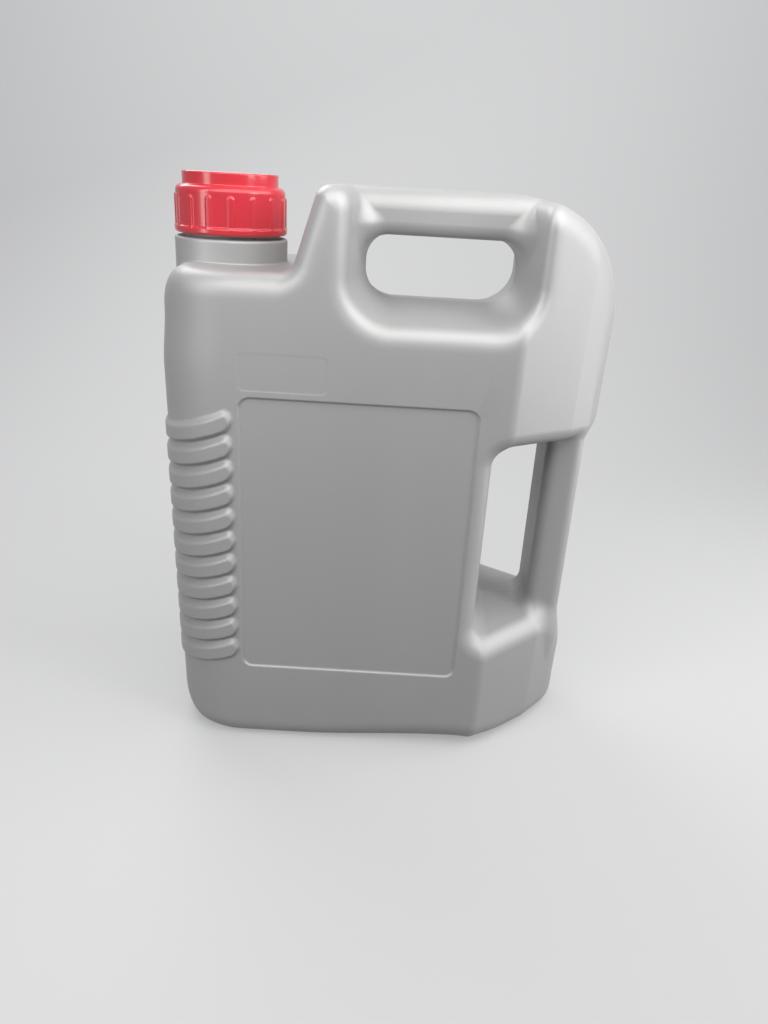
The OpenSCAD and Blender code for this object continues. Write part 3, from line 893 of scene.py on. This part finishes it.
def pale_floor():
    """Pale floor that shows its own tone and shadows, and throws little light back at the object"""
    material, tree, shader = new_material("pale_floor", FLOOR_TONE, FLOOR_ROUGH)
    shader.inputs["Emission Color"].default_value = (*FLOOR_GLOW, 1.0)
    shader.inputs["Emission Strength"].default_value = FLOOR_GLOW_STRENGTH
    dim = tree.nodes.new("ShaderNodeBsdfDiffuse")
    dim.inputs["Color"].default_value = (*FLOOR_DIM, 1.0)
    mixed = tree.nodes.new("ShaderNodeMixShader")
    tree.links.new(seen_rays(tree), mixed.inputs["Fac"])
    tree.links.new(dim.outputs["BSDF"], mixed.inputs[1])
    tree.links.new(shader.outputs["BSDF"], mixed.inputs[2])
    tree.links.new(mixed.outputs["Shader"], tree.nodes["Material Output"].inputs["Surface"])
    return material


def make_surround():
    """Pale surround that gives the object little light"""
    world = bpy.data.worlds.new("surround")
    world.use_nodes = True
    tree = world.node_tree
    background = tree.nodes["Background"]
    background.inputs["Color"].default_value = (*SURROUND, 1.0)
    strength = ramp(tree, seen_rays(tree), *SURROUND_STRENGTH, 0.0, 1.0)
    tree.links.new(strength, background.inputs["Strength"])
    bpy.context.scene.world = world


def dress(piece, material, body, node):
    """A piece that stands for a node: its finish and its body"""
    piece.data.materials.clear()
    piece.data.materials.append(material)
    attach(piece, body)
    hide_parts(node)


def make_camera():
    """Camera at the photograph's view"""
    data = bpy.data.cameras.new("camera")
    data.sensor_fit = "VERTICAL"
    data.sensor_height = SENSOR_H
    data.lens = FOCAL_PX / FRAME_H * data.sensor_height
    data.clip_start, data.clip_end = CLIP
    right = Vector((1.0, 0.0, 0.0))
    ahead = Vector((0.0, math.cos(PITCH), -math.sin(PITCH)))
    up = Vector((0.0, math.sin(PITCH), math.cos(PITCH)))
    across = right * math.cos(ROLL) + up * math.sin(ROLL)
    upward = up * math.cos(ROLL) - right * math.sin(ROLL)
    turn = Matrix((across, upward, -ahead)).transposed()
    camera = bpy.data.objects.new("camera", data)
    camera.matrix_world = Matrix.Translation(Vector(CAMERA_AT) * MM) @ turn.to_4x4()
    bpy.context.scene.collection.objects.link(camera)
    bpy.context.scene.camera = camera


def area_light(name, at, towards, size, power, colour):
    """Soft oblong light that looks at a point"""
    data = bpy.data.lights.new(name, "AREA")
    data.shape = "RECTANGLE"
    data.size, data.size_y = size
    data.energy = power
    data.color = colour
    light = bpy.data.objects.new(name, data)
    light.location = at
    light.rotation_euler = (Vector(towards) - Vector(at)).to_track_quat("-Z", "Y").to_euler()
    light.visible_camera = False
    bpy.context.scene.collection.objects.link(light)


def make_stage():
    """Pale floor that curves up behind, soft lights and a pale surround"""
    bend_from = FLOOR_BACK - FLOOR_BEND
    profile = [(FLOOR_FRONT, 0.0), (bend_from, 0.0)]
    for i in range(1, FLOOR_STEPS + 1):
        a = math.pi / 2 * i / FLOOR_STEPS
        profile.append((bend_from + FLOOR_BEND * math.sin(a), FLOOR_BEND - FLOOR_BEND * math.cos(a)))
    profile.append((FLOOR_BACK, FLOOR_RISE))
    points = np.array([(x, y, z) for y, z in profile for x in (-FLOOR_HALF_W, FLOOR_HALF_W)]) / MM
    faces = np.array([(2 * i, 2 * i + 1, 2 * i + 3, 2 * i + 2) for i in range(len(profile) - 1)])
    floor = new_object("floor", points, faces)
    floor.data.shade_smooth()
    floor.data.materials.append(pale_floor())
    for light in LIGHTS:
        area_light(*light)
    make_surround()
    bpy.context.scene.view_settings.view_transform = "Standard"


make_camera()
make_stage()
dress(make_body(), silver_plastic(), "can", "body")
dress(make_cap(), red_plastic(), "cap", "cap")
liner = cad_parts["cap_liner"]
liner.data.materials.clear()
liner.data.materials.append(white_foam())
